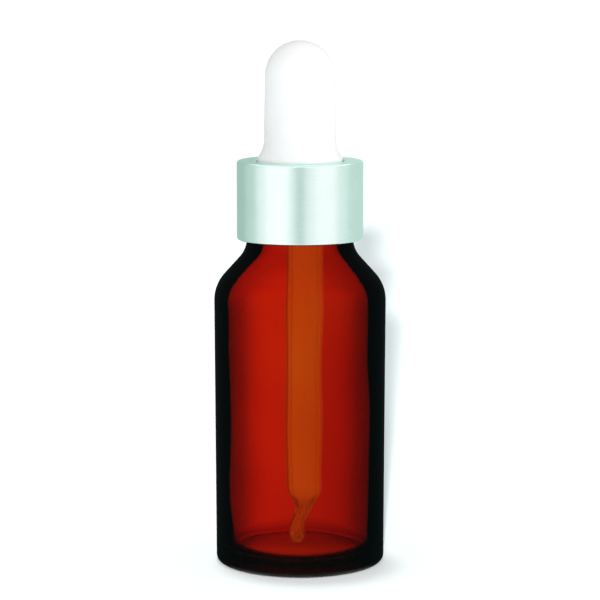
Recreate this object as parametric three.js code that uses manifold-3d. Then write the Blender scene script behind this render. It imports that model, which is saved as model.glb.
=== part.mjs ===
// Dropper bottle for liquids: a thick-walled glass bottle with a 20 mm screw neck, and a dropper
// made of a threaded cap in an aluminium shell, a rubber bulb, a glass pipette and a sealing washer.
// Millimetres, +Z up, origin at the centre of the base. The cap is shown screwed down.
import * as THREE from "three";
import { mergeVertices } from "three/addons/utils/BufferGeometryUtils.js";
import Module from "manifold-3d";

const wasm = await Module();
wasm.setup();

// General
const FIT_GAP = 0.3; // clearance between neighbouring pieces
const ROUND_SIDES = 36; // facets around the large turned pieces
const SMALL_ROUND_SIDES = 24; // facets around the bulb, washer and pipette

// Bottle, outside
const BODY_RADIUS = 16.5;
const HEEL_RADIUS = 16.25; // the wall is drafted, so the bottle is narrower at the heel
const HEEL_ROUNDING = 1.2;
const BEARING_RING_RADIUS = 12.2; // inner edge of the ring that the bottle stands on
const PUSH_UP = 0.9; // height of the hollow under the base
const BODY_TOP = 51; // where the straight wall ends
const SHOULDER_ROUNDING = 7.8;
const SHOULDER_SLOPE = 42.2; // degrees from vertical
const SHOULDER_FILLET = 5.27;
const NECK_RING_RADIUS = 10.2;

// Bottle, inside
const CAVITY_RADIUS = 13.6;
const CAVITY_TOP = 50.5;
const CAVITY_SHOULDER_ROUNDING = 6;
const CAVITY_SLOPE = 50;
const CAVITY_FILLET = 5;
const FLOOR_HEIGHT = 3;
const FLOOR_ROUNDING = 3;
const MOUTH_BORE_RADIUS = 5.5;

// Screw neck: 1.5 turns of an 8 threads per inch bead
const FINISH_RADIUS = 9;
const MOUTH_HEIGHT = 72.65;
const LIP_ROUNDING = 0.8;
const MOUTH_ROUNDING = 0.6;
const THREAD_PITCH = 3.175;
const THREAD_TURNS = 1.5;
const THREAD_BEAD_RADIUS = 0.75;
const THREAD_CREST = 0.9; // how far a bead stands out of its wall
const THREAD_START = 66; // height of the middle of the bottle's bead where it starts
const THREAD_RUN_OUT = 0.08; // share of a bead's length that sinks into the wall at each end

// Cap and its aluminium shell
const SHELL_RADIUS = 12.1;
const SHELL_THICKNESS = 0.45;
const SHELL_BOTTOM = 62.8;
const SHELL_TOP = 77.9;
const SHELL_TOP_ROUNDING = 0.8;
const SHELL_HEM_ROUNDING = 0.6;
const SHELL_HEM_INNER_RADIUS = 11;
const BULB_HOLE_RADIUS = 8.45;
const CAP_BORE_RADIUS = 10.2;
const CAP_BOTTOM = 64.5;
const CAP_TOP_THICKNESS = 1.2;
const CAP_EDGE_ROUNDING = 0.4;

// Rubber bulb, one moulding with the flange that the cap presses down
const FLANGE_RADIUS = 9.9;
const FLANGE_THICKNESS = 1.4;
const BULB_FLARE_ROUNDING = 5.5;
const BULB_WALL_BOTTOM = 82;
const BULB_BASE_RADIUS = 6.85;
const BULB_DOME_RADIUS = 6.65;
const BULB_DOME_CENTRE = 94.1;
const BULB_WALL = 1.3;
const BULB_CHAMBER_BOTTOM = 84.5;

// Glass pipette with a drawn and bent tip
const PIPETTE_RADIUS = 3.5;
const PIPETTE_WALL = 0.8;
const PIPETTE_TOP = 81.7;
const PIPETTE_FLARE_RADIUS = 4.1;
const PIPETTE_FLARE_LENGTH = 1.6;
const TIP_SHOULDER_TOP = 13.4;
const TIP_SHOULDER_BOTTOM = 10.6;
const TIP_RADIUS = 1.5;
const TIP_BORE_RADIUS = 0.75;
const TIP_ROUNDING_TOP = 4.6;
const TIP_END_RADIUS = 1;
const TIP_END_BORE_RADIUS = 0.45;
const TIP_BOTTOM = 3.6;
const TIP_BEND_TOP = 11.2;
const TIP_BEND_BOTTOM = 6.4;
const TIP_OFFSET = -1.45; // sideways, along X

// Sealing washer
const WASHER_RADIUS = 9.7;
const WASHER_THICKNESS = 1;

// Heights and radii that follow from the dimensions above
const CAP_RADIUS = SHELL_RADIUS - SHELL_THICKNESS - FIT_GAP;
const CAP_TOP = SHELL_TOP - SHELL_THICKNESS - FIT_GAP;
const FLANGE_TOP = CAP_TOP - CAP_TOP_THICKNESS - FIT_GAP;
const FLANGE_BOTTOM = FLANGE_TOP - FLANGE_THICKNESS;
const WASHER_TOP = FLANGE_BOTTOM - FIT_GAP;
const WASHER_BOTTOM = WASHER_TOP - WASHER_THICKNESS;
const BULB_NECK_RADIUS = BULB_HOLE_RADIUS - FIT_GAP;
const PIPETTE_SEAT_RADIUS = PIPETTE_RADIUS + FIT_GAP;

const point = (radius, height) => new THREE.Vector2(radius, height);

// Points along an arc of a profile; 0 degrees points away from the axis and 90 degrees up.
function arc(centre, radius, startDegrees, endDegrees, steps) {
  const points = [];
  for (let i = 0; i <= steps; i += 1) {
    const degrees = THREE.MathUtils.lerp(startDegrees, endDegrees, i / steps);
    const angle = THREE.MathUtils.degToRad(degrees);
    points.push(point(centre.x + radius * Math.cos(angle), centre.y + radius * Math.sin(angle)));
  }
  return points;
}

// Body wall to neck: a rounded shoulder, a straight slope and a fillet that ends upright.
function shoulder(bodyRadius, bodyTop, rounding, slopeDegrees, fillet, neckRadius) {
  const slope = THREE.MathUtils.degToRad(slopeDegrees);
  const rounded = arc(point(bodyRadius - rounding, bodyTop), rounding, 0, slopeDegrees, 8);
  const slopeStart = rounded[rounded.length - 1];
  const slopeEndRadius = neckRadius + fillet * (1 - Math.cos(slope));
  const slopeEndHeight = slopeStart.y + (slopeStart.x - slopeEndRadius) / Math.tan(slope);
  const filletCentre = point(neckRadius + fillet, slopeEndHeight + fillet * Math.sin(slope));
  return [...rounded, ...arc(filletCentre, fillet, 180 + slopeDegrees, 180, 6)];
}

// Turns a profile of (radius, height) points about the Z axis.
function turned(profile, sides) {
  return new THREE.LatheGeometry(profile, sides).rotateX(Math.PI / 2);
}

// A closed profile: the last point repeats the first.
const closed = (points) => [...points, points[0].clone()];

// Welds a closed mesh and drops the empty triangles that a turned profile has on its axis.
function toSolid(geometry) {
  const bare = geometry.clone();
  bare.deleteAttribute("normal");
  bare.deleteAttribute("uv");
  const welded = mergeVertices(bare, 1e-5);
  const index = welded.index.array;
  const triangles = [];
  for (let i = 0; i < index.length; i += 3) {
    const [a, b, c] = index.slice(i, i + 3);
    if (a !== b && b !== c && c !== a) {
      triangles.push(a, b, c);
    }
  }
  return new wasm.Manifold(new wasm.Mesh({
    numProp: 3,
    vertProperties: Float32Array.from(welded.attributes.position.array),
    triVerts: Uint32Array.from(triangles),
  }));
}

function fromSolid(solid) {
  const { vertProperties, triVerts } = solid.getMesh();
  const geometry = new THREE.BufferGeometry();
  geometry.setAttribute("position", new THREE.BufferAttribute(vertProperties, 3));
  geometry.setIndex(new THREE.BufferAttribute(triVerts, 1));
  geometry.computeVertexNormals();
  return geometry;
}

// The middle line of a thread bead. Its ends sink into the wall, by sink in the wall's direction.
class ThreadPath extends THREE.Curve {
  constructor(radius, startHeight, startTurn, sink) {
    super();
    this.radius = radius;
    this.startHeight = startHeight;
    this.startTurn = startTurn;
    this.sink = sink;
  }

  getPoint(t, target = new THREE.Vector3()) {
    const angle = 2 * Math.PI * (this.startTurn + THREAD_TURNS * t);
    const buried = Math.max(0, 1 - Math.min(t, 1 - t) / THREAD_RUN_OUT);
    const radius = this.radius + this.sink * buried;
    const height = this.startHeight + THREAD_PITCH * THREAD_TURNS * t;
    return target.set(radius * Math.cos(angle), radius * Math.sin(angle), height);
  }
}

function threadBead(path) {
  const section = new THREE.Shape();
  section.absarc(0, 0, THREAD_BEAD_RADIUS, 0, 2 * Math.PI);
  return new THREE.ExtrudeGeometry(section, {
    curveSegments: 5,
    steps: 24 * THREAD_TURNS,
    extrudePath: path,
  });
}

function bottleGeometry() {
  const pushUpSphere = (BEARING_RING_RADIUS ** 2 + PUSH_UP ** 2) / (2 * PUSH_UP);
  const pushUpHalfAngle = THREE.MathUtils.radToDeg(Math.asin(BEARING_RING_RADIUS / pushUpSphere));
  const neckRingRounding = NECK_RING_RADIUS - FINISH_RADIUS;
  const outerShoulder = shoulder(
    BODY_RADIUS, BODY_TOP, SHOULDER_ROUNDING, SHOULDER_SLOPE, SHOULDER_FILLET, NECK_RING_RADIUS);
  const neckRingHeight = outerShoulder[outerShoulder.length - 1].y;
  const cavityShoulder = shoulder(
    CAVITY_RADIUS, CAVITY_TOP, CAVITY_SHOULDER_ROUNDING, CAVITY_SLOPE, CAVITY_FILLET,
    MOUTH_BORE_RADIUS);
  const outside = [
    ...arc(point(0, PUSH_UP - pushUpSphere), pushUpSphere, 90, 90 - pushUpHalfAngle, 4),
    ...arc(point(HEEL_RADIUS - HEEL_ROUNDING, HEEL_ROUNDING), HEEL_ROUNDING, -90, 0, 4),
    ...outerShoulder,
    ...arc(point(FINISH_RADIUS, neckRingHeight), neckRingRounding, 20, 90, 3),
    ...arc(point(FINISH_RADIUS - LIP_ROUNDING, MOUTH_HEIGHT - LIP_ROUNDING), LIP_ROUNDING, 0, 90, 3),
  ];
  const inside = [
    ...arc(
      point(MOUTH_BORE_RADIUS + MOUTH_ROUNDING, MOUTH_HEIGHT - MOUTH_ROUNDING),
      MOUTH_ROUNDING, 90, 180, 3),
    ...cavityShoulder.reverse(),
    ...arc(
      point(CAVITY_RADIUS - FLOOR_ROUNDING, FLOOR_HEIGHT + FLOOR_ROUNDING),
      FLOOR_ROUNDING, 0, -90, 4),
    point(0, FLOOR_HEIGHT),
  ];
  outside[0].x = 0;
  const beadRadius = FINISH_RADIUS + THREAD_CREST - THREAD_BEAD_RADIUS;
  const thread = threadBead(new ThreadPath(beadRadius, THREAD_START, 0, -1));
  return fromSolid(toSolid(turned([...outside, ...inside], ROUND_SIDES)).add(toSolid(thread)));
}

function capGeometry() {
  const underside = CAP_TOP - CAP_TOP_THICKNESS;
  const profile = closed([
    point(CAP_RADIUS, CAP_BOTTOM),
    ...arc(point(CAP_RADIUS - CAP_EDGE_ROUNDING, CAP_TOP - CAP_EDGE_ROUNDING),
      CAP_EDGE_ROUNDING, 0, 90, 2),
    point(BULB_HOLE_RADIUS, CAP_TOP),
    point(BULB_HOLE_RADIUS, underside),
    point(CAP_BORE_RADIUS, underside),
    point(CAP_BORE_RADIUS, CAP_BOTTOM),
  ]);
  // Screwed down, the cap's bead lies half a pitch below the bottle's.
  const startTurn = 0.25;
  const startHeight = THREAD_START + (startTurn - 0.5) * THREAD_PITCH;
  const beadRadius = CAP_BORE_RADIUS - THREAD_CREST + THREAD_BEAD_RADIUS;
  const thread = threadBead(new ThreadPath(beadRadius, startHeight, startTurn, THREAD_CREST / 2));
  return fromSolid(toSolid(turned(profile, ROUND_SIDES)).add(toSolid(thread)));
}

function shellGeometry() {
  const hemCentre = point(SHELL_RADIUS - SHELL_HEM_ROUNDING, SHELL_BOTTOM + SHELL_HEM_ROUNDING);
  const topCentre = point(SHELL_RADIUS - SHELL_TOP_ROUNDING, SHELL_TOP - SHELL_TOP_ROUNDING);
  return turned(closed([
    ...arc(hemCentre, SHELL_HEM_ROUNDING, -90, 0, 4),
    ...arc(topCentre, SHELL_TOP_ROUNDING, 0, 90, 4),
    point(BULB_HOLE_RADIUS, SHELL_TOP),
    point(BULB_HOLE_RADIUS, SHELL_TOP - SHELL_THICKNESS),
    ...arc(topCentre, SHELL_TOP_ROUNDING - SHELL_THICKNESS, 90, 0, 3),
    ...arc(hemCentre, SHELL_HEM_ROUNDING - SHELL_THICKNESS, 0, -90, 2),
    point(SHELL_HEM_INNER_RADIUS, SHELL_BOTTOM + SHELL_THICKNESS),
    point(SHELL_HEM_INNER_RADIUS, SHELL_BOTTOM),
  ]), ROUND_SIDES);
}

function bulbGeometry() {
  const flareCentre = point(BULB_BASE_RADIUS + BULB_FLARE_ROUNDING, BULB_WALL_BOTTOM);
  const flareDegrees = THREE.MathUtils.radToDeg(
    Math.acos((flareCentre.x - BULB_NECK_RADIUS) / BULB_FLARE_ROUNDING));
  const domeCentre = point(0, BULB_DOME_CENTRE);
  const flareRecess = PIPETTE_FLARE_RADIUS + FIT_GAP;
  const recessBottom = PIPETTE_TOP - PIPETTE_FLARE_LENGTH;
  const profile = [
    ...arc(domeCentre, BULB_DOME_RADIUS - BULB_WALL, 90, 0, 7),
    point(BULB_BASE_RADIUS - BULB_WALL, BULB_CHAMBER_BOTTOM),
    point(flareRecess, PIPETTE_TOP + FIT_GAP),
    point(flareRecess, PIPETTE_TOP),
    point(PIPETTE_SEAT_RADIUS, recessBottom),
    point(PIPETTE_SEAT_RADIUS, FLANGE_BOTTOM),
    point(FLANGE_RADIUS, FLANGE_BOTTOM),
    point(FLANGE_RADIUS, FLANGE_TOP),
    point(BULB_NECK_RADIUS, FLANGE_TOP),
    ...arc(flareCentre, BULB_FLARE_ROUNDING, 180 + flareDegrees, 180, 6),
    ...arc(domeCentre, BULB_DOME_RADIUS, 0, 90, 8),
  ];
  profile[0].x = 0;
  profile[profile.length - 1].x = 0;
  return turned(profile, SMALL_ROUND_SIDES);
}

// How far the drawn tip stands off the axis at a height.
function tipOffset(height) {
  const bend = 1 - THREE.MathUtils.smoothstep(height, TIP_BEND_BOTTOM, TIP_BEND_TOP);
  return TIP_OFFSET * bend;
}

function pipetteGeometry() {
  const boreRadius = PIPETTE_RADIUS - PIPETTE_WALL;
  const flareBottom = PIPETTE_TOP - PIPETTE_FLARE_LENGTH;
  const bend = [];
  for (let height = TIP_SHOULDER_BOTTOM - 0.8; height > TIP_BEND_BOTTOM; height -= 0.8) {
    bend.push(height);
  }
  const outside = [
    point(PIPETTE_FLARE_RADIUS, PIPETTE_TOP),
    point(PIPETTE_RADIUS, flareBottom),
    point(PIPETTE_RADIUS, TIP_SHOULDER_TOP),
    point(TIP_RADIUS, TIP_SHOULDER_BOTTOM),
    ...bend.map((height) => point(TIP_RADIUS, height)),
    point(TIP_RADIUS, TIP_ROUNDING_TOP),
    point(TIP_END_RADIUS, TIP_BOTTOM),
  ];
  const inside = [
    point(TIP_END_BORE_RADIUS, TIP_BOTTOM),
    point(TIP_BORE_RADIUS, TIP_ROUNDING_TOP),
    ...bend.toReversed().map((height) => point(TIP_BORE_RADIUS, height)),
    point(TIP_BORE_RADIUS, TIP_SHOULDER_BOTTOM),
    point(boreRadius, TIP_SHOULDER_TOP),
    point(boreRadius, flareBottom),
    point(PIPETTE_FLARE_RADIUS - PIPETTE_WALL, PIPETTE_TOP),
  ];
  const geometry = turned(closed([...outside, ...inside]).reverse(), SMALL_ROUND_SIDES);
  const position = geometry.attributes.position;
  for (let i = 0; i < position.count; i += 1) {
    position.setX(i, position.getX(i) + tipOffset(position.getZ(i)));
  }
  geometry.computeVertexNormals();
  return geometry;
}

function washerGeometry() {
  return turned(closed([
    point(PIPETTE_SEAT_RADIUS, WASHER_BOTTOM),
    point(WASHER_RADIUS, WASHER_BOTTOM),
    point(WASHER_RADIUS, WASHER_TOP),
    point(PIPETTE_SEAT_RADIUS, WASHER_TOP),
  ]), SMALL_ROUND_SIDES);
}

function named(name, geometry, material) {
  const mesh = new THREE.Mesh(geometry, new THREE.MeshStandardMaterial(material));
  mesh.name = name;
  return mesh;
}

const amberGlass = { color: 0xa31a02, roughness: 0.05, metalness: 0, transparent: true, opacity: 0.75 };
const clearGlass = { color: 0xeef4f2, roughness: 0.05, metalness: 0, transparent: true, opacity: 0.35 };
const aluminium = { color: 0xdfece7, roughness: 0.25, metalness: 1 };
const whiteRubber = { color: 0xf4f5f6, roughness: 0.6, metalness: 0 };
const whitePlastic = { color: 0xeceeee, roughness: 0.5, metalness: 0 };
const washerPlastic = { color: 0xe4e6e4, roughness: 0.7, metalness: 0 };

const dropper = new THREE.Group();
dropper.add(
  named("inner_cap", capGeometry(), whitePlastic),
  named("metal_shell", shellGeometry(), aluminium),
  named("rubber_bulb", bulbGeometry(), whiteRubber),
  named("glass_pipette", pipetteGeometry(), clearGlass),
);

const dropperBottle = new THREE.Group();
dropperBottle.add(
  named("glass_bottle", bottleGeometry(), amberGlass),
  named("sealing_washer", washerGeometry(), washerPlastic),
  dropper,
);

export default dropperBottle;
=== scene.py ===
"""Dropper bottle: an amber glass bottle, and a dropper made of a screw cap in an aluminium shell,
a rubber bulb, a sealing washer and a clear glass pipette.

Metres, +Z up, origin at the centre of the base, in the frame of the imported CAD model.
The dimensions below are in millimetres, and the angles in degrees.
"""

import math

import bpy
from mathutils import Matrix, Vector, noise

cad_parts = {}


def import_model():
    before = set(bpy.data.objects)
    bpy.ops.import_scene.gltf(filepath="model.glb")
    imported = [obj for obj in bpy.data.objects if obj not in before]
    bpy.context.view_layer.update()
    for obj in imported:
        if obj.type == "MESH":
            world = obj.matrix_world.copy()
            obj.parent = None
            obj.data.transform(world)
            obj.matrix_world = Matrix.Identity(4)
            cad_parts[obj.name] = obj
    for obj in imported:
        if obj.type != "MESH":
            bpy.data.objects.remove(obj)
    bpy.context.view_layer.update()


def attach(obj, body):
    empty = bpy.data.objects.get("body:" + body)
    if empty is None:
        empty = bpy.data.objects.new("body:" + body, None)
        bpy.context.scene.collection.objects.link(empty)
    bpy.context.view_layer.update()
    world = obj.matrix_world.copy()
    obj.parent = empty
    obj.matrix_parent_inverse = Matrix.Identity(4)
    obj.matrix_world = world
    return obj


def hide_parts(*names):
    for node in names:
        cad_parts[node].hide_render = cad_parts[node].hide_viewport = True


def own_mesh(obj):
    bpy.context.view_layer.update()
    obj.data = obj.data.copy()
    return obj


MM = 0.001

# General
FIT_GAP = 0.3
SAME_PLACE = 0.02  # a radius this close to another is the same

# Bottle, outside
BODY_RADIUS = 16.5
HEEL_RADIUS = 16.25
HEEL_ROUNDING = 1.2
BEARING_RING_RADIUS = 12.2
PUSH_UP = 0.9
KNURLS = 40  # shallow notches round the ring that the bottle stands on
KNURL_DEPTH = 0.03
KNURL_RADII = (12.6, 14.6)
KNURL_INNER_HEIGHT = 0.4
SEAM_HEIGHT = 0.05  # of the two mould seams
SEAM_HALF_WIDTH = 0.18
BODY_TOP = 51
SHOULDER_ROUNDING = 7.8
SHOULDER_SLOPE = 42.2
SHOULDER_FILLET = 5.27
NECK_RING_RADIUS = 10.2
NECK_RING_START = 20  # degrees up its edge, where its rounding starts

# Bottle, inside
CAVITY_RADIUS = 13.6
CAVITY_TOP = 50.5
CAVITY_SHOULDER_ROUNDING = 6
CAVITY_SLOPE = 42.2
CAVITY_FILLET = 8
FLOOR_HEIGHT = 2.6
FLOOR_ROUNDING = 3
MOUTH_BORE_RADIUS = 5.5
NECK_BORE_RADIUS = 6.8  # below the screw finish
NECK_BORE_TAPER = 5
CAVITY_OFFSET = -0.1  # along X: the wall is a little thicker on one side
INNER_WAVE = 0.26
INNER_WAVE_RISE = 8  # above the floor, where the waves reach their full size
INNER_WAVE_FALL = 10  # above the cavity's straight wall, where they have gone
INNER_WAVE_LENGTH = 18
INNER_WAVE_SCALE = 1.3
INNER_WAVE_START = (3.1, 7.7, 1.9)
OFFSET_REACH = 6  # the floor's middle isn't moved sideways
WALL_TAPER = 0.6  # how much thicker the wall is at the floor than at the shoulder

# Screw neck
FINISH_RADIUS = 9
MOUTH_HEIGHT = 72.65
LIP_ROUNDING = 0.8
MOUTH_ROUNDING = 0.6
THREAD_PITCH = 3.175
THREAD_TURNS = 1.5
THREAD_CREST = 0.9
THREAD_HALF_WIDTH = 0.75
THREAD_START = 66
THREAD_RUN_OUT = 0.08

# Cap and its aluminium shell
SHELL_RADIUS = 12.1
SHELL_THICKNESS = 0.45
SHELL_BOTTOM = 62.8
SHELL_TOP = 77.9
SHELL_TOP_ROUNDING = 0.5
SHELL_HEM_ROUNDING = 0.5
SHELL_HEM_INNER_RADIUS = 11
BULB_HOLE_RADIUS = 8.45
CAP_BORE_RADIUS = 10.2
CAP_BOTTOM = 64.5
CAP_TOP_THICKNESS = 1.2
CAP_ROUNDING = 0.3
CAP_THREAD_TURN = 0.25  # of a turn: where its thread starts, half a pitch off the neck's

# Rubber bulb
FLANGE_RADIUS = 9.9
FLANGE_THICKNESS = 1.4
BULB_FLARE_ROUNDING = 5.5
BULB_WALL_BOTTOM = 82
BULB_SEAM_RISE = 0.4
BULB_BASE_RADIUS = 6.85
BULB_DOME_RADIUS = 6.65
BULB_DOME_CENTRE = 94.1
BULB_WALL = 1.3
PINCH_RADIUS = 3.5  # of the squeezed bulb's middle
PINCH_HEIGHT = 9
TAPER_STEPS = 16
TAPER_INSET = 0.05

# Pipette
PIPETTE_RADIUS = 3.5
PIPETTE_WALL = 0.8
PIPETTE_TOP = 81.7
PIPETTE_FLARE_RADIUS = 4.1
PIPETTE_FLARE_LENGTH = 1.6
PIPETTE_ROUNDING = 1.2
TIP_SHOULDER_TOP = 13.4
TIP_SHOULDER_BOTTOM = 10.6
TIP_RADIUS = 1.5
TIP_BORE_RADIUS = 0.75
TIP_ROUNDING_TOP = 4.6
TIP_END_RADIUS = 1
TIP_END_BORE_RADIUS = 0.45
TIP_BOTTOM = 3.6
TIP_BEND_TOP = 11.2
TIP_BEND_BOTTOM = 6.4
TIP_OFFSET = -1.45
TIP_RIPPLE = 0.35  # unevenness of the hand-drawn tip
TIP_RIPPLE_ROUND = 1.6
TIP_RIPPLE_LENGTH = 1.9
TIP_OUTER_START = 4.2  # where in the noise the outer surface starts
HANG_OFFSET = 0.95
HANG_TOP = 76
HANG_BOTTOM = 64

# Sealing washer
WASHER_RADIUS = 9.7
WASHER_THICKNESS = 1
WASHER_ROUNDING = 0.15

# Heights and radii that follow from the dimensions above
CAP_RADIUS = SHELL_RADIUS - SHELL_THICKNESS - FIT_GAP
CAP_TOP = SHELL_TOP - SHELL_THICKNESS - FIT_GAP
FLANGE_TOP = CAP_TOP - CAP_TOP_THICKNESS - FIT_GAP
FLANGE_BOTTOM = FLANGE_TOP - FLANGE_THICKNESS
WASHER_TOP = FLANGE_BOTTOM - FIT_GAP
WASHER_BOTTOM = WASHER_TOP - WASHER_THICKNESS
BULB_NECK_RADIUS = BULB_HOLE_RADIUS - FIT_GAP
PIPETTE_SEAT_RADIUS = PIPETTE_RADIUS + FIT_GAP
BULB_SEAM = BULB_WALL_BOTTOM + BULB_SEAM_RISE  # where the part of the bulb that is squeezed starts

# Mesh detail
BOTTLE_SEGMENTS = 160
SHELL_SEGMENTS = 160
SMALL_SEGMENTS = 96
LONGEST_FACE = 0.8
PIPETTE_ROW = 0.4
THREAD_ROW = 0.12
SEAM_STEPS = (-0.9, -0.55, -0.3, -0.1, 0.1, 0.3, 0.55, 0.9)  # of angle, about a seam
SEAM_ANGLES = (0, 180)
SHARPEST_SMOOTH_ANGLE = 40
ARC_STEPS = 12  # of an ordinary rounding
SMALL_ARC_STEPS = 8
SHOULDER_STEPS = 14
FLOOR_ARC_STEPS = 14
HEM_STEPS = (10, 6)  # outside and inside
FLARE_STEPS = 16
PINCH_TOP_STEPS = 10
DOME_STEPS = (24, 20)  # outside and inside

# Looks. Noise scales are in features per metre, and depths in millimetres.
AMBER_ABSORPTION = (120.0, 800.0, 2400.0)  # per metre, in red, green and blue
GLASS_IOR = 1.5
GLASS_SPECULAR = (0.25, 0.25, 0.25)
GLASS_RIPPLE = 0.03
GLASS_RIPPLE_SCALE = 150
GLASS_RIPPLE_STRETCH = (1, 1, 0.3)
GLASS_GLOW = 0.0024  # painted light: a trace of glow, so that the dark glass isn't quite black
GLASS_GLOW_COLOUR = (0.1, 1.0, 1.0)
BASE_ROUGHNESS = 0.3  # the bottom of the bottle is not as clear as its wall
BASE_ROUGHNESS_REACH = (1, 1.5)  # above the floor and its rounding, where the roughness fades
RIM_START, RIM_END = 0.1, 0.5  # of Layer Weight's Facing, between which painted shade darkens the wall seen edge on
PAINTED_RIM_SHADE = 0.33
PAINTED_SIDE_SHADE = 0.87  # painted shade: the glass's colour on the +X side, against 1 on the -X side
PAINTED_SIDE_SHADE_REACH = 8
PIPETTE_ROUGHNESS = 0.03
PIPETTE_TINT = 0.62
PIPETTE_RIM = (0.28, 0.7)  # of Facing, between which painted shade darkens its edge
PIPETTE_RIM_SHADE = 0.02
PIPETTE_LIT_RIM_SHADE = 0.32  # painted shade at the edge on the +X side, where the tube is painted as lit
PIPETTE_GLOW = 0.155  # stands for the light that the glass gathers
PIPETTE_RIM_GLOW = 0.3
TIP_GLOW = 0.08
METAL_COLOUR = (0.66, 0.93, 0.84)
METAL_EDGE = (0.86, 1.0, 0.95)
METAL_TONES = (0.98, 1.015)  # the colour is multiplied by a value between the two
METAL_ROUGHNESS = (0.27, 0.30)
METAL_CLOUD_SCALE = 260
TURNED_SCALE = 9000
TURNED_STRETCH = (0.03, 0.03, 1)
TURNED_DEPTH = 0.004
TURNED_STRENGTH = 0.25
GRAIN_SCALE = 7000
GRAIN_DEPTH = 0.01
GRAIN_STRENGTH = 0.15
RUBBED_REACH = 0.5  # how far in from the shell's two rims it is rubbed smooth
RUBBED_TONE = 0.5  # added there to the place between the tones
RUBBED_ROUGHNESS = -0.05  # added there
RUBBER_COLOUR = (0.95, 0.95, 0.95)
RUBBER_TONES = (0.975, 1.015)
RUBBER_ROUGHNESS = (0.5, 0.68)
RUBBER_CLOUD_SCALE = 170
RUBBER_SKIN_SCALE = 5200
RUBBER_SKIN_DEPTH = 0.03
RUBBER_SKIN_STRENGTH = 0.35
RUBBER_WAVE_SCALE = 330
RUBBER_WAVE_DEPTH = 0.02
RUBBER_WAVE_STRENGTH = 0.4
PLASTIC_TONES = (0.965, 1.02)
PLASTIC_GRAIN_SCALE = 3200
PLASTIC_GRAIN_DEPTH = 0.02
PLASTIC_GRAIN_STRENGTH = 0.3
PLASTIC_FLOW_SCALE = 220
PLASTIC_FLOW_STRETCH = (1, 1, 0.3)
PLASTIC_ROUGHNESS_SPREAD = (-0.06, 0.08)
CAP_COLOUR, CAP_ROUGHNESS = (0.84, 0.85, 0.85), 0.45
WASHER_COLOUR, WASHER_ROUGHNESS = (0.78, 0.79, 0.78), 0.5

# Stage, light and camera. Azimuth 0 is in front, at -Y, and 90 at +X. The floor and the panels
# are measured in metres, and the camera's place in millimetres.
FLOOR_RADIUS = 12.0
FLOOR_SEGMENTS = 96
FLOOR_COLOUR = (0.36, 0.42, 0.42)
WORLD_SEEN = 1.05  # the world's strength for the camera's rays
WORLD_DIFFUSE = 0.8
WORLD_GLOSSY = 0.016
WORLD_THROUGH_SOLID = 0.004  # a factor, for rays that have crossed no more than one solid wall
FLOOR_MIRRORED = 1.6  # what a mirrored ray meets below, in place of the floor
FLOOR_MIRRORED_START = -32.0  # elevations between which that sets in
FLOOR_MIRRORED_END = -58.0
WORLD_FALL_START = -3.0  # elevations between which the world falls to WORLD_LOW
WORLD_FALL_END = -60.0
WORLD_LOW = 0.45

# Panels in a ring round the cap: the azimuths where each starts and ends, and its radiance.
PANELS = (
    (-180, -115, 0.55),
    (-115, -85, 0.70),
    (-85, -62, 1.15),
    (-62, -20, 1.45),
    (-20, -8, 1.1),
    (-8, 8, 0.6),
    (8, 26, 1.15),
    (26, 70, 1.35),
    (70, 95, 1.0),
    (95, 180, 0.78),
)
PANEL_DISTANCE = 0.4
PANEL_HALF_ANGLE = 50
WIDEST_PANEL = 45
TOP_PANEL_SIZE = 0.8
TOP_PANEL_RADIANCE = 1.1
PANEL_COOL = (0.93, 1.0, 0.97)
PANEL_WARM = (1.0, 0.80, 0.87)
WARM_PANELS = (0.5, 1.4)  # radiances at which a panel has the one colour and the other

# Suns: name, azimuth, elevation, strength and angle across, with a colour for those of the floor.
FLOOR_SUNS = (
    ("floor_key", -2.8, 10, 20.5, 1.3, (1.0, 0.84, 0.85)),
    ("near_key", -6, 33, 1.3, 12, (1.0, 0.84, 0.85)),
    ("back_key", -160, 83.5, 2.4, 8, (1.0, 0.95, 0.95)),
)
FORM_SUN = ("form_key", 35, 20, 1.1, 60)

CAMERA_PLACE = (0, -480, 120)
CAMERA_TARGET = (0, 0, 50.96)
CAMERA_LENS = 151.2


# ---------------------------------------------------------------- profiles and meshes


def arc(centre, radius, start, end, steps):
    """Points (radius, height) along an arc; 0 degrees points away from the axis and 90 up."""
    points = []
    for i in range(steps + 1):
        angle = math.radians(start + (end - start) * i / steps)
        points.append((centre[0] + radius * math.cos(angle), centre[1] + radius * math.sin(angle)))
    return points


def refined(profile, longest):
    """The profile with its long segments divided, so that none is longer than longest."""
    points = [profile[0]]
    for (r0, z0), (r1, z1) in zip(profile, profile[1:]):
        count = max(1, math.ceil(math.hypot(r1 - r0, z1 - z0) / longest))
        points += [(r0 + (r1 - r0) * i / count, z0 + (z1 - z0) * i / count)
                   for i in range(1, count + 1)]
    return points


def softened(corners, rounding, steps=4):
    """A closed profile of corners with each corner rounded off."""
    points = []
    count = len(corners)
    for i, corner in enumerate(corners):
        here = Vector(corner)
        before = Vector(corners[i - 1]) - here
        after = Vector(corners[(i + 1) % count]) - here
        reach = min(rounding, before.length * 0.45, after.length * 0.45)
        a, b = here + before.normalized() * reach, here + after.normalized() * reach
        for s in range(steps + 1):
            t = s / steps
            p = a * (1 - t) ** 2 + here * 2 * t * (1 - t) + b * t ** 2
            points.append((p.x, p.y))
    return points + [points[0]]


def shoulder(body_radius, body_top, rounding, slope_degrees, fillet, neck_radius, steps):
    """Body wall to neck: a rounded shoulder, a straight slope and a fillet that ends upright."""
    slope = math.radians(slope_degrees)
    rounded = arc((body_radius - rounding, body_top), rounding, 0, slope_degrees, steps)
    start_radius, start_height = rounded[-1]
    end_radius = neck_radius + fillet * (1 - math.cos(slope))
    end_height = start_height + (start_radius - end_radius) / math.tan(slope)
    centre = (neck_radius + fillet, end_height + fillet * math.sin(slope))
    return rounded + arc(centre, fillet, 180 + slope_degrees, 180, steps)


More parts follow.
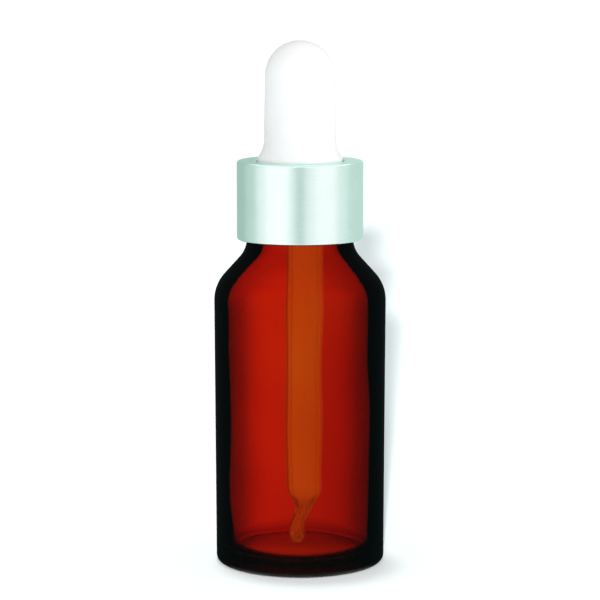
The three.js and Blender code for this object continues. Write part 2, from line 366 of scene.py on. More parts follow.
def lathe(name, profile, segments, shift=None, seams=()):
    """Turns a profile about the Z axis. Points on the axis become one vertex each, and a profile
    whose last point repeats the first is closed. shift(radius, height, angle, i) returns an
    offset (x, y, z) in millimetres for profile point i. seams are angles, in degrees, with extra
    fine segments about them."""
    closed = profile[0] == profile[-1]
    points = profile[:-1] if closed else profile
    angles = [2 * math.pi * s / segments for s in range(segments)]
    angles += [math.radians((seam + step) % 360) for seam in seams for step in SEAM_STEPS]
    angles = sorted(set(angles))
    segments = len(angles)
    vertices, rows = [], []
    for i, (radius, height) in enumerate(points):
        on_axis = radius < 1e-6
        row = []
        for angle in angles[:1] if on_axis else angles:
            x, y, z = radius * math.cos(angle), radius * math.sin(angle), height
            if shift is not None:
                dx, dy, dz = shift(radius, height, angle, i)
                x, y, z = x + dx, y + dy, z + dz
            row.append(len(vertices))
            vertices.append((x * MM, y * MM, z * MM))
        rows.append(row)
    faces = []
    pairs = list(zip(rows, rows[1:])) + ([(rows[-1], rows[0])] if closed else [])
    for low, high in pairs:
        for s in range(segments):
            t = (s + 1) % segments
            if len(low) == 1 and len(high) == 1:
                continue
            if len(low) == 1:
                faces.append((low[0], high[t], high[s]))
            elif len(high) == 1:
                faces.append((low[s], low[t], high[0]))
            else:
                faces.append((low[s], low[t], high[t], high[s]))
    mesh = bpy.data.meshes.new(name)
    mesh.from_pydata(vertices, [], faces)
    mesh.polygons.foreach_set("use_smooth", [True] * len(mesh.polygons))
    mesh.set_sharp_from_angle(angle=math.radians(SHARPEST_SMOOTH_ANGLE))
    mesh.update()
    piece = bpy.data.objects.new(name, mesh)
    bpy.context.scene.collection.objects.link(piece)
    return piece


def smoothstep(x, low, high):
    t = min(1.0, max(0.0, (x - low) / (high - low)))
    return t * t * (3 - 2 * t)


def bead_height(angle, height, start_height, start_turn):
    """How far a thread bead stands out of its wall at an angle and height."""
    tallest = 0.0
    turn = angle / (2 * math.pi) - start_turn
    for whole in range(-1, 4):
        along = (turn + whole) / THREAD_TURNS
        if not 0 <= along <= 1:
            continue
        middle = start_height + THREAD_PITCH * THREAD_TURNS * along
        across = abs(height - middle) / THREAD_HALF_WIDTH
        if across < 1:
            run_out = smoothstep(min(along, 1 - along), 0, THREAD_RUN_OUT)
            tallest = max(tallest, THREAD_CREST * run_out * (1 - across ** 3) ** 0.8)
    return tallest


# ---------------------------------------------------------------- materials


def new_material(name):
    material = bpy.data.materials.new(name)
    material.use_nodes = True
    nodes = material.node_tree.nodes
    nodes.clear()
    output = nodes.new("ShaderNodeOutputMaterial")
    shader = nodes.new("ShaderNodeBsdfPrincipled")
    material.node_tree.links.new(shader.outputs["BSDF"], output.inputs["Surface"])
    return material, shader, output


def add(material, kind, **values):
    """A new node; values set its properties, or its inputs where a name is an input's."""
    node = material.node_tree.nodes.new(kind)
    for key, value in values.items():
        if hasattr(node, key):
            setattr(node, key, value)
        else:
            node.inputs[key.replace("_", " ")].default_value = value
    return node


def link(material, source, target):
    material.node_tree.links.new(source, target)


def set_inputs(shader, **values):
    for key, value in values.items():
        shader.inputs[key.replace("_", " ")].default_value = value


def object_noise(material, scale, detail=2.0, roughness=0.5, stretch=None):
    """A noise texture in object coordinates; scale is in features per metre."""
    place = add(material, "ShaderNodeTexCoord")
    texture = add(material, "ShaderNodeTexNoise")
    texture.inputs["Scale"].default_value = scale
    texture.inputs["Detail"].default_value = detail
    texture.inputs["Roughness"].default_value = roughness
    if stretch is None:
        link(material, place.outputs["Object"], texture.inputs["Vector"])
    else:
        mapping = add(material, "ShaderNodeMapping")
        mapping.inputs["Scale"].default_value = stretch
        link(material, place.outputs["Object"], mapping.inputs["Vector"])
        link(material, mapping.outputs["Vector"], texture.inputs["Vector"])
    return texture.outputs["Fac"]


def object_axes(material):
    """A node whose outputs X, Y and Z are the object coordinates."""
    place = add(material, "ShaderNodeTexCoord")
    split = add(material, "ShaderNodeSeparateXYZ")
    link(material, place.outputs["Object"], split.inputs[0])
    return split


def spread(material, source, low, high, from_low=0.3, from_high=0.7):
    """Maps a value to the range low to high."""
    node = add(material, "ShaderNodeMapRange")
    node.inputs["From Min"].default_value = from_low
    node.inputs["From Max"].default_value = from_high
    node.inputs["To Min"].default_value = low
    node.inputs["To Max"].default_value = high
    link(material, source, node.inputs["Value"])
    return node.outputs["Result"]


def bump(material, source, distance, strength, shader, after=None):
    node = add(material, "ShaderNodeBump")
    node.inputs["Strength"].default_value = strength
    node.inputs["Distance"].default_value = distance
    link(material, source, node.inputs["Height"])
    if after is not None:
        link(material, after, node.inputs["Normal"])
    link(material, node.outputs["Normal"], shader.inputs["Normal"])
    return node.outputs["Normal"]


def amber_glass():
    """Amber glass, coloured in its depth, with a faint ripple in its surface and a trace of painted
    glow. Painted shade darkens it where an upright wall is seen edge on, and on the +X side, and
    it is less clear near its base."""
    material, shader, output = new_material("amber_glass")
    set_inputs(shader, Transmission_Weight=1.0, IOR=GLASS_IOR, Emission_Strength=GLASS_GLOW)
    shader.inputs["Specular Tint"].default_value = (*GLASS_SPECULAR, 1)
    shader.inputs["Emission Color"].default_value = (*GLASS_GLOW_COLOUR, 1)
    # Painted shade: the upright wall darkens where it is seen edge on.
    facing = add(material, "ShaderNodeLayerWeight")
    facing.inputs["Blend"].default_value = 0.5
    rim = add(material, "ShaderNodeMapRange", interpolation_type="SMOOTHSTEP")
    rim.inputs["From Min"].default_value = RIM_START
    rim.inputs["From Max"].default_value = RIM_END
    rim.inputs["To Max"].default_value = 1 - PAINTED_RIM_SHADE
    link(material, facing.outputs["Facing"], rim.inputs["Value"])
    geometry = add(material, "ShaderNodeNewGeometry")
    normal = add(material, "ShaderNodeSeparateXYZ")
    link(material, geometry.outputs["Normal"], normal.inputs[0])
    slope = add(material, "ShaderNodeMath", operation="ABSOLUTE")
    link(material, normal.outputs["Z"], slope.inputs[0])
    upright = add(material, "ShaderNodeMath", operation="SUBTRACT")
    upright.inputs[0].default_value = 1.0
    link(material, slope.outputs[0], upright.inputs[1])
    wall = add(material, "ShaderNodeMath", operation="MULTIPLY")
    link(material, rim.outputs["Result"], wall.inputs[0])
    link(material, upright.outputs[0], wall.inputs[1])
    clear = add(material, "ShaderNodeMath", operation="SUBTRACT")
    clear.inputs[0].default_value = 1.0
    link(material, wall.outputs[0], clear.inputs[1])
    split = object_axes(material)
    rough = spread(material, split.outputs["Z"], BASE_ROUGHNESS, 0.0,
                   (FLOOR_HEIGHT + BASE_ROUGHNESS_REACH[0]) * MM,
                   (FLOOR_HEIGHT + FLOOR_ROUNDING + BASE_ROUGHNESS_REACH[1]) * MM)
    link(material, rough, shader.inputs["Roughness"])
    # Painted shade: the glass darkens towards its +X side, and with the edge shade this gives the
    # base colour.
    side_shade = add(material, "ShaderNodeMapRange", interpolation_type="SMOOTHSTEP")
    side_shade.inputs["From Min"].default_value = -PAINTED_SIDE_SHADE_REACH * MM
    side_shade.inputs["From Max"].default_value = PAINTED_SIDE_SHADE_REACH * MM
    side_shade.inputs["To Min"].default_value = 1.0
    side_shade.inputs["To Max"].default_value = PAINTED_SIDE_SHADE
    link(material, split.outputs["X"], side_shade.inputs["Value"])
    painted_shade = add(material, "ShaderNodeMath", operation="MULTIPLY")
    link(material, side_shade.outputs["Result"], painted_shade.inputs[0])
    link(material, clear.outputs[0], painted_shade.inputs[1])
    link(material, painted_shade.outputs[0], shader.inputs["Base Color"])
    ripple = object_noise(material, GLASS_RIPPLE_SCALE, stretch=GLASS_RIPPLE_STRETCH)
    bump(material, ripple, GLASS_RIPPLE * MM, 1.0, shader)
    volume = add(material, "ShaderNodeVolumeAbsorption")
    most = max(AMBER_ABSORPTION)
    volume.inputs["Color"].default_value = (*[1 - k / most for k in AMBER_ABSORPTION], 1)
    volume.inputs["Density"].default_value = most
    link(material, volume.outputs["Volume"], output.inputs["Volume"])
    return material


def clear_glass():
    """Clear glass whose edges are darkened with painted shade, more on the -X side, with a faint
    painted glow that stands for the light it gathers."""
    material, shader, _ = new_material("clear_glass")
    set_inputs(shader, Transmission_Weight=1.0, IOR=GLASS_IOR, Roughness=PIPETTE_ROUGHNESS)
    # Painted shade on the tube's edges, lighter on its +X side as though lit from there.
    facing = add(material, "ShaderNodeLayerWeight")
    facing.inputs["Blend"].default_value = 0.5
    rim = add(material, "ShaderNodeMapRange", interpolation_type="SMOOTHSTEP")
    rim.inputs["From Min"].default_value = PIPETTE_RIM[0]
    rim.inputs["From Max"].default_value = PIPETTE_RIM[1]
    rim.inputs["To Min"].default_value = PIPETTE_TINT
    split = object_axes(material)
    edge_shade_by_side = spread(material, split.outputs["X"], PIPETTE_RIM_SHADE, PIPETTE_LIT_RIM_SHADE,
                  -PIPETTE_RADIUS * MM, PIPETTE_RADIUS * MM)
    link(material, edge_shade_by_side, rim.inputs["To Max"])
    link(material, facing.outputs["Facing"], rim.inputs["Value"])
    link(material, rim.outputs["Result"], shader.inputs["Base Color"])
    shader.inputs["Specular Tint"].default_value = (*GLASS_SPECULAR, 1)
    shader.inputs["Emission Color"].default_value = (1, 1, 1, 1)
    # Painted light: a glow, weaker on the tip and towards the edges.
    glow = add(material, "ShaderNodeMapRange", interpolation_type="SMOOTHSTEP")
    glow.inputs["From Min"].default_value = TIP_SHOULDER_BOTTOM * MM
    glow.inputs["From Max"].default_value = (TIP_SHOULDER_TOP + 1) * MM
    glow.inputs["To Min"].default_value = TIP_GLOW
    glow.inputs["To Max"].default_value = PIPETTE_GLOW
    link(material, split.outputs["Z"], glow.inputs["Value"])
    shade = spread(material, rim.outputs["Result"], PIPETTE_RIM_GLOW, 1.0,
                   PIPETTE_RIM_SHADE, PIPETTE_TINT)
    product = add(material, "ShaderNodeMath", operation="MULTIPLY")
    link(material, glow.outputs["Result"], product.inputs[0])
    link(material, shade, product.inputs[1])
    link(material, product.outputs[0], shader.inputs["Emission Strength"])
    return material


def tinted(material, source, colour, tones, shader):
    """Sets the base colour to the colour times a factor between the two tones."""
    node = add(material, "ShaderNodeMix", data_type="RGBA")
    link(material, source, node.inputs["Factor"])
    ends = [[min(1.0, c * tone) for c in colour] for tone in tones]
    for name, end in zip("AB", ends):
        [s for s in node.inputs if s.name == name and s.type == "RGBA"][0].default_value = (*end, 1)
    result = [o for o in node.outputs if o.type == "RGBA"][0]
    link(material, result, shader.inputs["Base Color"])


def height_band(material, low, high, reach):
    """1 at the two heights and beyond, falling to 0 within reach millimetres between them."""
    split = object_axes(material)
    upper = spread(material, split.outputs["Z"], 0.0, 1.0, (high - reach) * MM, high * MM)
    lower = spread(material, split.outputs["Z"], 1.0, 0.0, low * MM, (low + reach) * MM)
    both = add(material, "ShaderNodeMath", operation="MAXIMUM")
    link(material, upper, both.inputs[0])
    link(material, lower, both.inputs[1])
    return both.outputs[0]


def aluminium():
    """Satin anodised aluminium: turned lines round the axis, fine blasted grain, faint clouding,
    and rims rubbed a little smoother and paler."""
    material, shader, _ = new_material("satin_aluminium")
    set_inputs(shader, Metallic=1.0)
    shader.inputs["Specular Tint"].default_value = (*METAL_EDGE, 1)
    turned = object_noise(material, TURNED_SCALE, stretch=TURNED_STRETCH)
    grain = object_noise(material, GRAIN_SCALE, 3.0, 0.6)
    clouds = object_noise(material, METAL_CLOUD_SCALE, 3.0, 0.55)
    rims = height_band(material, SHELL_BOTTOM, SHELL_TOP, RUBBED_REACH)
    tone = add(material, "ShaderNodeMath", operation="MULTIPLY_ADD")
    link(material, rims, tone.inputs[0])
    tone.inputs[1].default_value = RUBBED_TONE
    link(material, spread(material, clouds, 0.0, 1.0), tone.inputs[2])
    tinted(material, tone.outputs[0], METAL_COLOUR, METAL_TONES, shader)
    rough = add(material, "ShaderNodeMath", operation="MULTIPLY_ADD")
    link(material, rims, rough.inputs[0])
    rough.inputs[1].default_value = RUBBED_ROUGHNESS
    link(material, spread(material, turned, *METAL_ROUGHNESS), rough.inputs[2])
    link(material, rough.outputs[0], shader.inputs["Roughness"])
    lines = bump(material, turned, TURNED_DEPTH * MM, TURNED_STRENGTH, shader)
    bump(material, grain, GRAIN_DEPTH * MM, GRAIN_STRENGTH, shader, after=lines)
    return material


def white_rubber():
    """Matt moulded rubber: soft clouding, a fine pebbled skin and shallow undulations."""
    material, shader, _ = new_material("white_rubber")
    skin = object_noise(material, RUBBER_SKIN_SCALE, 4.0, 0.6)
    clouds = object_noise(material, RUBBER_CLOUD_SCALE, 3.0, 0.55)
    tinted(material, spread(material, clouds, 0.0, 1.0), RUBBER_COLOUR, RUBBER_TONES, shader)
    link(material, spread(material, skin, *RUBBER_ROUGHNESS), shader.inputs["Roughness"])
    waves = bump(material, object_noise(material, RUBBER_WAVE_SCALE), RUBBER_WAVE_DEPTH * MM,
                 RUBBER_WAVE_STRENGTH, shader)
    bump(material, skin, RUBBER_SKIN_DEPTH * MM, RUBBER_SKIN_STRENGTH, shader, after=waves)
    return material


def moulded_plastic(name, colour, roughness):
    """Injection-moulded plastic: a fine eroded texture and faint flow marks."""
    material, shader, _ = new_material(name)
    grain = object_noise(material, PLASTIC_GRAIN_SCALE, 3.0, 0.6)
    flow = object_noise(material, PLASTIC_FLOW_SCALE, stretch=PLASTIC_FLOW_STRETCH)
    tinted(material, spread(material, flow, 0.0, 1.0), colour, PLASTIC_TONES, shader)
    low, high = [roughness + change for change in PLASTIC_ROUGHNESS_SPREAD]
    link(material, spread(material, grain, low, high), shader.inputs["Roughness"])
    bump(material, grain, PLASTIC_GRAIN_DEPTH * MM, PLASTIC_GRAIN_STRENGTH, shader)
    return material


# ---------------------------------------------------------------- pieces


def bottle():
    push_up_sphere = (BEARING_RING_RADIUS ** 2 + PUSH_UP ** 2) / (2 * PUSH_UP)
    half_angle = math.degrees(math.asin(BEARING_RING_RADIUS / push_up_sphere))
    outer_shoulder = shoulder(BODY_RADIUS, BODY_TOP, SHOULDER_ROUNDING, SHOULDER_SLOPE,
                              SHOULDER_FILLET, NECK_RING_RADIUS, SHOULDER_STEPS)
    ring_height = outer_shoulder[-1][1]
    ring_rounding = NECK_RING_RADIUS - FINISH_RADIUS
    cavity_shoulder = shoulder(CAVITY_RADIUS, CAVITY_TOP, CAVITY_SHOULDER_ROUNDING, CAVITY_SLOPE,
                               CAVITY_FILLET, NECK_BORE_RADIUS, SHOULDER_STEPS)
    neck_height = cavity_shoulder[-1][1]
    below_finish = (
        arc((0, PUSH_UP - push_up_sphere), push_up_sphere, 90, 90 - half_angle, ARC_STEPS)
        + arc((HEEL_RADIUS - HEEL_ROUNDING, HEEL_ROUNDING), HEEL_ROUNDING, -90, 0,
              ARC_STEPS)
        + outer_shoulder
        + arc((FINISH_RADIUS, ring_height), ring_rounding, NECK_RING_START, 90, SMALL_ARC_STEPS))
    below_finish[0] = (0, below_finish[0][1])
    finish = refined([below_finish[-1], (FINISH_RADIUS, MOUTH_HEIGHT - LIP_ROUNDING)], THREAD_ROW)
    lip = arc((FINISH_RADIUS - LIP_ROUNDING, MOUTH_HEIGHT - LIP_ROUNDING), LIP_ROUNDING, 0, 90,
              SMALL_ARC_STEPS)
    outside = refined(below_finish, LONGEST_FACE) + finish[1:] + lip[1:]
    inside = (
        arc((MOUTH_BORE_RADIUS + MOUTH_ROUNDING, MOUTH_HEIGHT - MOUTH_ROUNDING),
            MOUTH_ROUNDING, 90, 180, SMALL_ARC_STEPS)
        + [(MOUTH_BORE_RADIUS, neck_height + NECK_BORE_TAPER)]
        + cavity_shoulder[::-1]
        + arc((CAVITY_RADIUS - FLOOR_ROUNDING, FLOOR_HEIGHT + FLOOR_ROUNDING),
              FLOOR_ROUNDING, 0, -90, FLOOR_ARC_STEPS)
        + [(0, FLOOR_HEIGHT)])
    profile = outside + refined(inside, LONGEST_FACE)
    count = len(outside)

    def shift(radius, height, angle, i):
        out = 0.0
        if i < count:
            if height < KNURL_INNER_HEIGHT and KNURL_RADII[0] < radius < KNURL_RADII[1]:
                lift = KNURL_DEPTH * (0.5 - 0.5 * math.cos(KNURLS * angle))
                return 0, 0, lift
            if HEEL_ROUNDING < height < ring_height:
                seam = abs(math.sin(angle)) * BODY_RADIUS / SEAM_HALF_WIDTH
                out = SEAM_HEIGHT * max(0.0, 1 - seam) - SEAM_HEIGHT
            if THREAD_START - THREAD_PITCH < height < MOUTH_HEIGHT - LIP_ROUNDING:
                out = bead_height(angle, height, THREAD_START, 0)
        else:
            amount = smoothstep(height, FLOOR_HEIGHT, FLOOR_HEIGHT + INNER_WAVE_RISE)
            amount *= 1 - smoothstep(height, CAVITY_TOP, CAVITY_TOP + INNER_WAVE_FALL)
            place = Vector((math.cos(angle), math.sin(angle), height / INNER_WAVE_LENGTH))
            wave = noise.noise(place * INNER_WAVE_SCALE + Vector(INNER_WAVE_START))
            out = INNER_WAVE * amount * wave
            out -= WALL_TAPER * (1 - height / CAVITY_TOP) * min(1, radius / CAVITY_RADIUS)
            aside = CAVITY_OFFSET * amount * min(1, radius / OFFSET_REACH)
            return out * math.cos(angle) + aside, out * math.sin(angle), 0
        return out * math.cos(angle), out * math.sin(angle), 0

    return lathe("bottle_glass", profile, BOTTLE_SEGMENTS, shift, seams=SEAM_ANGLES)


def cap():
    underside = CAP_TOP - CAP_TOP_THICKNESS
    profile = softened([
        (CAP_RADIUS, CAP_BOTTOM),
        (CAP_RADIUS, CAP_TOP),
        (BULB_HOLE_RADIUS, CAP_TOP),
        (BULB_HOLE_RADIUS, underside),
        (CAP_BORE_RADIUS, underside),
        (CAP_BORE_RADIUS, CAP_BOTTOM),
    ], CAP_ROUNDING)
    start_height = THREAD_START + (CAP_THREAD_TURN - 0.5) * THREAD_PITCH

    def shift(radius, height, angle, i):
        in_bore = abs(radius - CAP_BORE_RADIUS) < SAME_PLACE
        if not (in_bore and CAP_BOTTOM + CAP_ROUNDING < height < underside - CAP_ROUNDING):
            return 0, 0, 0
        inward = bead_height(angle, height, start_height, CAP_THREAD_TURN)
        return -inward * math.cos(angle), -inward * math.sin(angle), 0

    return lathe("cap_insert", refined(profile, THREAD_ROW * 2), SMALL_SEGMENTS, shift)


def shell():
    hem = (SHELL_RADIUS - SHELL_HEM_ROUNDING, SHELL_BOTTOM + SHELL_HEM_ROUNDING)
    top = (SHELL_RADIUS - SHELL_TOP_ROUNDING, SHELL_TOP - SHELL_TOP_ROUNDING)
    edge = SHELL_THICKNESS / 2
    profile = (
        arc(hem, SHELL_HEM_ROUNDING, -90, 0, HEM_STEPS[0])
        + arc(top, SHELL_TOP_ROUNDING, 0, 90, ARC_STEPS)
        + arc((BULB_HOLE_RADIUS + edge, SHELL_TOP - edge), edge, 90, 270, ARC_STEPS)
        + arc(top, SHELL_TOP_ROUNDING - SHELL_THICKNESS, 90, 0, SMALL_ARC_STEPS)
        + arc(hem, SHELL_HEM_ROUNDING - SHELL_THICKNESS, 0, -90, HEM_STEPS[1])
        + arc((SHELL_HEM_INNER_RADIUS + edge, SHELL_BOTTOM + edge), edge, 90, 270,
              SMALL_ARC_STEPS))
    profile.append(profile[0])
    return lathe("collar_shell", refined(profile, LONGEST_FACE), SHELL_SEGMENTS)


def bulb_foot():
    """The flange, neck and flare of the bulb, with a taper above them that the dome covers until
    it is squeezed."""
    flare = (BULB_BASE_RADIUS + BULB_FLARE_ROUNDING, BULB_WALL_BOTTOM)
    flare_degrees = math.degrees(math.acos((flare[0] - BULB_NECK_RADIUS) / BULB_FLARE_ROUNDING))
    recess = PIPETTE_FLARE_RADIUS + FIT_GAP
    hidden = BULB_BASE_RADIUS - TAPER_INSET
    taper = [(hidden + (PINCH_RADIUS - hidden) * smoothstep(i, 0, TAPER_STEPS),
              BULB_SEAM + PINCH_HEIGHT * i / TAPER_STEPS) for i in range(TAPER_STEPS)]
    taper += arc((0, BULB_SEAM + PINCH_HEIGHT), PINCH_RADIUS, 0, 90, PINCH_TOP_STEPS)
    taper[-1] = (0, taper[-1][1])
    profile = (
        [(0, PIPETTE_TOP + FIT_GAP),
         (recess, PIPETTE_TOP + FIT_GAP),
         (recess, PIPETTE_TOP),
         (PIPETTE_SEAT_RADIUS, PIPETTE_TOP - PIPETTE_FLARE_LENGTH),
         (PIPETTE_SEAT_RADIUS, FLANGE_BOTTOM),
         (FLANGE_RADIUS, FLANGE_BOTTOM),
         (FLANGE_RADIUS, FLANGE_TOP),
         (BULB_NECK_RADIUS, FLANGE_TOP)]
        + arc(flare, BULB_FLARE_ROUNDING, 180 + flare_degrees, 180, FLARE_STEPS)
        + [(BULB_BASE_RADIUS, BULB_SEAM)]
        + taper)
    return lathe("bulb_foot", refined(profile, LONGEST_FACE), SMALL_SEGMENTS)


def bulb_dome():
    """The part of the bulb that flattens when it is squeezed."""
    centre = (0, BULB_DOME_CENTRE)
    profile = (
        [(BULB_BASE_RADIUS, BULB_SEAM)]
        + arc(centre, BULB_DOME_RADIUS, 0, 90, DOME_STEPS[0]))
    inner = (
        arc(centre, BULB_DOME_RADIUS - BULB_WALL, 90, 0, DOME_STEPS[1])
        + [(BULB_BASE_RADIUS - BULB_WALL, BULB_SEAM), (BULB_BASE_RADIUS, BULB_SEAM)])
    profile[-1] = (0, profile[-1][1])
    inner[0] = (0, inner[0][1])
    return lathe("bulb_dome", refined(profile, LONGEST_FACE) + refined(inner, LONGEST_FACE),
                 SMALL_SEGMENTS)


def pipette_offset(height):
    """The tube hangs a little off the axis below the cap, and its tip is bent back."""
    hang = HANG_OFFSET * (1 - smoothstep(height, HANG_BOTTOM, HANG_TOP))
    return hang + TIP_OFFSET * (1 - smoothstep(height, TIP_BEND_BOTTOM, TIP_BEND_TOP))


def pipette():
    bore = PIPETTE_RADIUS - PIPETTE_WALL
    flare_bottom = PIPETTE_TOP - PIPETTE_FLARE_LENGTH
    corners = [
        (PIPETTE_FLARE_RADIUS, PIPETTE_TOP),
        (PIPETTE_RADIUS, flare_bottom),
        (PIPETTE_RADIUS, TIP_SHOULDER_TOP),
        (TIP_RADIUS, TIP_SHOULDER_BOTTOM),
        (TIP_RADIUS, TIP_ROUNDING_TOP),
        (TIP_END_RADIUS, TIP_BOTTOM),
        (TIP_END_BORE_RADIUS, TIP_BOTTOM),
        (TIP_BORE_RADIUS, TIP_ROUNDING_TOP),
        (TIP_BORE_RADIUS, TIP_SHOULDER_BOTTOM),
        (bore, TIP_SHOULDER_TOP),
        (bore, flare_bottom),
        (PIPETTE_FLARE_RADIUS - PIPETTE_WALL, PIPETTE_TOP),
    ]
    rounded = softened(corners, PIPETTE_ROUNDING, SMALL_ARC_STEPS)
    profile = refined(rounded, PIPETTE_ROW)[::-1]

    def shift(radius, height, angle, i):
        drawn = 1 - smoothstep(height, TIP_SHOULDER_BOTTOM, TIP_SHOULDER_TOP)
        around = Vector((math.cos(angle), math.sin(angle), 0)) * TIP_RIPPLE_ROUND
        along = height / TIP_RIPPLE_LENGTH + (TIP_OUTER_START if radius > TIP_END_RADIUS else 0)
        ripple = TIP_RIPPLE * drawn * noise.noise(around + Vector((0, 0, along)))
        ripple *= smoothstep(height, TIP_BOTTOM, TIP_ROUNDING_TOP)
        return pipette_offset(height) + ripple * math.cos(angle), ripple * math.sin(angle), 0

    return lathe("pipette_glass", profile, SMALL_SEGMENTS, shift)


def washer():
    profile = softened([
        (PIPETTE_SEAT_RADIUS, WASHER_BOTTOM),
        (WASHER_RADIUS, WASHER_BOTTOM),
        (WASHER_RADIUS, WASHER_TOP),
        (PIPETTE_SEAT_RADIUS, WASHER_TOP),
    ], WASHER_ROUNDING)
    return lathe("washer_disc", refined(profile, LONGEST_FACE), SMALL_SEGMENTS)


def fit(piece, material, body, node):
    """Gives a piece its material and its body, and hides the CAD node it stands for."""
    piece.data.materials.append(material)
    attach(piece, body)
    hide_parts(node)


# ---------------------------------------------------------------- stage, light and camera


def floor():
    bpy.ops.mesh.primitive_circle_add(vertices=FLOOR_SEGMENTS, radius=FLOOR_RADIUS,
                                      fill_type="NGON")
    piece = bpy.context.active_object
    piece.name = "floor"
    material, shader, _ = new_material("floor_white")
    shader.inputs["Base Color"].default_value = (*FLOOR_COLOUR, 1)
    set_inputs(shader, Roughness=1.0)
    shader.inputs["Specular IOR Level"].default_value = 0.0
    piece.data.materials.append(material)
    piece.visible_glossy = False
    piece.visible_transmission = False
    piece.visible_shadow = False
    return piece


def world():
    """A white studio that looks dark where it is mirrored, and dark through solid glass alone, as
    with black flags beside it. Mirrored rays that go down meet a pale floor."""
    made = bpy.data.worlds.new("studio")
    bpy.context.scene.world = made
    made.use_nodes = True
    nodes, links = made.node_tree.nodes, made.node_tree.links
    nodes.clear()
    output = nodes.new("ShaderNodeOutputWorld")
    background = nodes.new("ShaderNodeBackground")
    links.new(background.outputs[0], output.inputs["Surface"])
    background.inputs["Color"].default_value = (1, 1, 1, 1)
    path = nodes.new("ShaderNodeLightPath")

    def math_node(operation, first, second):
        node = nodes.new("ShaderNodeMath")
        node.operation = operation
        for socket, value in zip(node.inputs, (first, second)):
            if isinstance(value, bpy.types.NodeSocket):
                links.new(value, socket)
            else:
                socket.default_value = value
        return node.outputs[0]

    through = math_node("SUBTRACT", 1.0, path.outputs["Is Transmission Ray"])
    mirrored = math_node("MULTIPLY", path.outputs["Is Glossy Ray"], through)
    place = nodes.new("ShaderNodeTexCoord")
    split = nodes.new("ShaderNodeSeparateXYZ")
    links.new(place.outputs["Generated"], split.inputs[0])
    floor_seen = nodes.new("ShaderNodeMapRange")
    floor_seen.inputs["From Min"].default_value = math.sin(math.radians(FLOOR_MIRRORED_START))
    floor_seen.inputs["From Max"].default_value = math.sin(math.radians(FLOOR_MIRRORED_END))
    floor_seen.inputs["To Min"].default_value = WORLD_SEEN - WORLD_GLOSSY
    floor_seen.inputs["To Max"].default_value = WORLD_SEEN - FLOOR_MIRRORED
    links.new(split.outputs["Z"], floor_seen.inputs["Value"])
    less = math_node("MULTIPLY", mirrored, floor_seen.outputs["Result"])
    less_diffuse = math_node("MULTIPLY", path.outputs["Is Diffuse Ray"], WORLD_SEEN - WORLD_DIFFUSE)
    level = math_node("SUBTRACT", math_node("SUBTRACT", WORLD_SEEN, less), less_diffuse)
    fall = nodes.new("ShaderNodeMapRange")
    fall.inputs["From Min"].default_value = math.sin(math.radians(WORLD_FALL_END))
    fall.inputs["From Max"].default_value = math.sin(math.radians(WORLD_FALL_START))
    fall.inputs["To Min"].default_value = WORLD_LOW
    fall.inputs["To Max"].default_value = 1.0
    links.new(split.outputs["Z"], fall.inputs["Value"])
    level = math_node("MULTIPLY", level, fall.outputs["Result"])
    depth = path.outputs["Transmission Depth"]
    solid = math_node("MULTIPLY", math_node("GREATER_THAN", depth, 0.5),
                      math_node("LESS_THAN", depth, 2.5))
    kept = math_node("SUBTRACT", 1.0, math_node("MULTIPLY", solid, 1 - WORLD_THROUGH_SOLID))
    level = math_node("MULTIPLY", level, kept)
    links.new(level, background.inputs["Strength"])
    made.cycles.sampling_method = "NONE"


def direction(azimuth, elevation):
    a, e = math.radians(azimuth), math.radians(elevation)
    return Vector((math.sin(a) * math.cos(e), -math.cos(a) * math.cos(e), math.sin(e)))


def lamp_of(name, data, toward, place, receivers):
    """A lamp that lights only its receivers, and that no ray from the camera meets."""
    lamp = bpy.data.objects.new(name, data)
    bpy.context.scene.collection.objects.link(lamp)
    lamp.location = place
    lamp.rotation_euler = (-toward).to_track_quat("-Z", "Y").to_euler()
    lamp.visible_camera = False
    lamp.visible_transmission = False
    group = bpy.data.collections.new(name + "_lights")
    for piece in receivers:
        group.objects.link(piece)
    lamp.light_linking.receiver_collection = group
    return lamp


def panel(name, toward, place, width, height, radiance, receivers):
    data = bpy.data.lights.new(name, "AREA")
    data.shape = "RECTANGLE"
    data.size, data.size_y = width, height
    data.energy = radiance * math.pi * width * height
    warm = smoothstep(radiance, *WARM_PANELS)
    data.color = [a + (b - a) * warm for a, b in zip(PANEL_COOL, PANEL_WARM)]
    lamp = lamp_of(name, data, toward, place, receivers)
    lamp.visible_diffuse = False


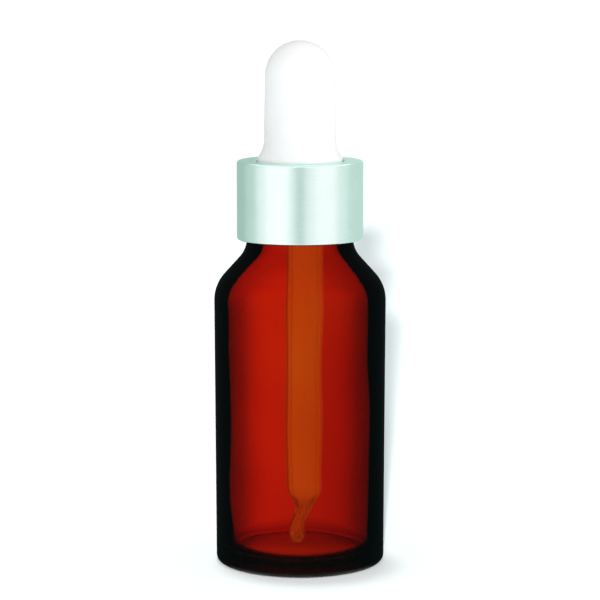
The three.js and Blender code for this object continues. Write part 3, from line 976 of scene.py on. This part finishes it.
def panels(receivers):
    """The ring of panels, and one on top, that the receivers mirror."""
    centre = Vector((0, 0, (SHELL_BOTTOM + SHELL_TOP) / 2 * MM))
    height = 2 * PANEL_DISTANCE * math.tan(math.radians(PANEL_HALF_ANGLE))
    up = Vector((0, 0, 1))
    for i, (start, end, radiance) in enumerate(PANELS):
        pieces = max(1, math.ceil((end - start) / WIDEST_PANEL))
        for k in range(pieces):
            step = (end - start) / pieces
            toward = direction(start + step * (k + 0.5), 0)
            width = 2 * PANEL_DISTANCE * math.tan(math.radians(step / 2))
            panel(f"panel_{i}_{k}", toward, centre + toward * PANEL_DISTANCE, width, height,
                  radiance, receivers)
    panel("panel_top", up, centre + up * PANEL_DISTANCE, TOP_PANEL_SIZE, TOP_PANEL_SIZE,
          TOP_PANEL_RADIANCE, receivers)


def sun(name, azimuth, elevation, strength, angle, receivers, colour=(1, 1, 1)):
    data = bpy.data.lights.new(name, "SUN")
    data.energy = strength
    data.color = colour
    data.angle = math.radians(angle)
    lamp = lamp_of(name, data, direction(azimuth, elevation), (0, 0, 1), receivers)
    lamp.visible_glossy = False


def camera():
    data = bpy.data.cameras.new("camera")
    data.lens = CAMERA_LENS
    data.sensor_width = 36
    data.clip_start, data.clip_end = 0.01, 100
    piece = bpy.data.objects.new("camera", data)
    bpy.context.scene.collection.objects.link(piece)
    place, target = Vector(CAMERA_PLACE) * MM, Vector(CAMERA_TARGET) * MM
    piece.location = place
    piece.rotation_euler = (target - place).to_track_quat("-Z", "Y").to_euler()
    bpy.context.scene.camera = piece


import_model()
bpy.context.scene.view_settings.view_transform = "Standard"
camera()
world()
stage = floor()

rubber = white_rubber()
glass = bottle()
disc = washer()
insert = cap()
collar = shell()
tube = pipette()
foot = bulb_foot()
dome = bulb_dome()
fit(glass, amber_glass(), "bottle", "glass_bottle")
fit(disc, moulded_plastic("washer_plastic", WASHER_COLOUR, WASHER_ROUGHNESS), "seal",
    "sealing_washer")
fit(insert, moulded_plastic("cap_plastic", CAP_COLOUR, CAP_ROUGHNESS), "dropper", "inner_cap")
fit(collar, aluminium(), "dropper", "metal_shell")
fit(tube, clear_glass(), "dropper", "glass_pipette")
fit(foot, rubber, "dropper", "rubber_bulb")
fit(dome, rubber, "dropper", "rubber_bulb")
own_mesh(dome)

panels([collar])
for name, *numbers, colour in FLOOR_SUNS:
    sun(name, *numbers, [stage], colour)
sun(*FORM_SUN, [foot, dome, insert, disc])
